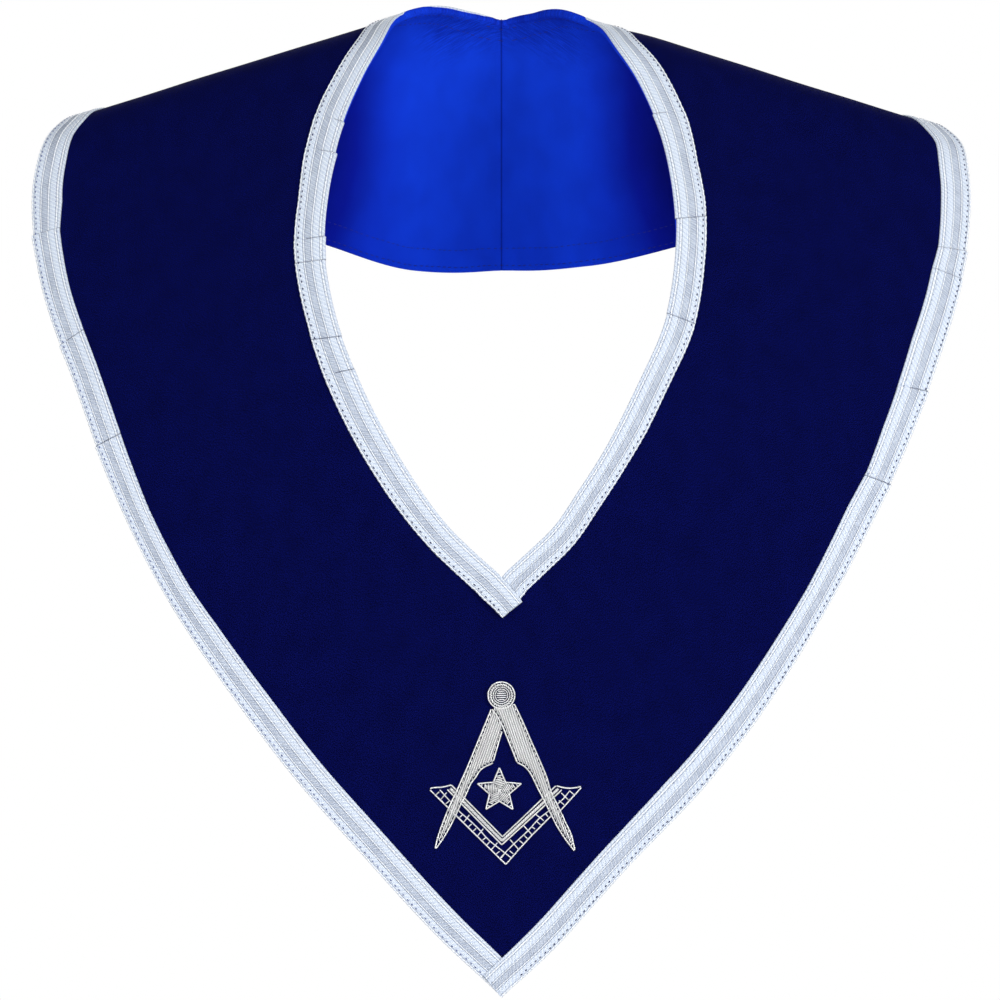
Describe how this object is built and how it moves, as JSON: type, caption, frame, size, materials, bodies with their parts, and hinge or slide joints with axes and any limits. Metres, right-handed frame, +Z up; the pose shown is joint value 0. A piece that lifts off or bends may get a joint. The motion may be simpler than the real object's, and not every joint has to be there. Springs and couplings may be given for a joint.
{
  "type": "masonic collar",
  "caption": "Ceremonial regalia collar in worn form: navy cloth panel meeting in a front point, royal blue lining, white braid on both edges, padded silver square and compasses with a star",
  "frame": {"origin": "On the centre line between the two shoulders, at the height of the shoulder line beside the neck", "axes": "+X to the right as seen from the front, -Y out of the front, +Z up"},
  "size_m": [0.4414, 0.1958, 0.4639],
  "materials": {
    "navy_cloth": "matt short-nap cloth",
    "blue_lining": "plain weave with a soft sheen",
    "white_braid": "ribbed woven braid",
    "silver_thread": "coiled silver wire laid side by side"
  },
  "bodies": {
    "root": {"face_cloth": "navy_cloth", "lining": "blue_lining", "braid_neck": "white_braid", "braid_rim": "white_braid", "square": "silver_thread", "compass_leg_left": "silver_thread", "compass_leg_right": "silver_thread", "compass_head": "silver_thread", "star": "silver_thread"}
  },
  "joints": []
}
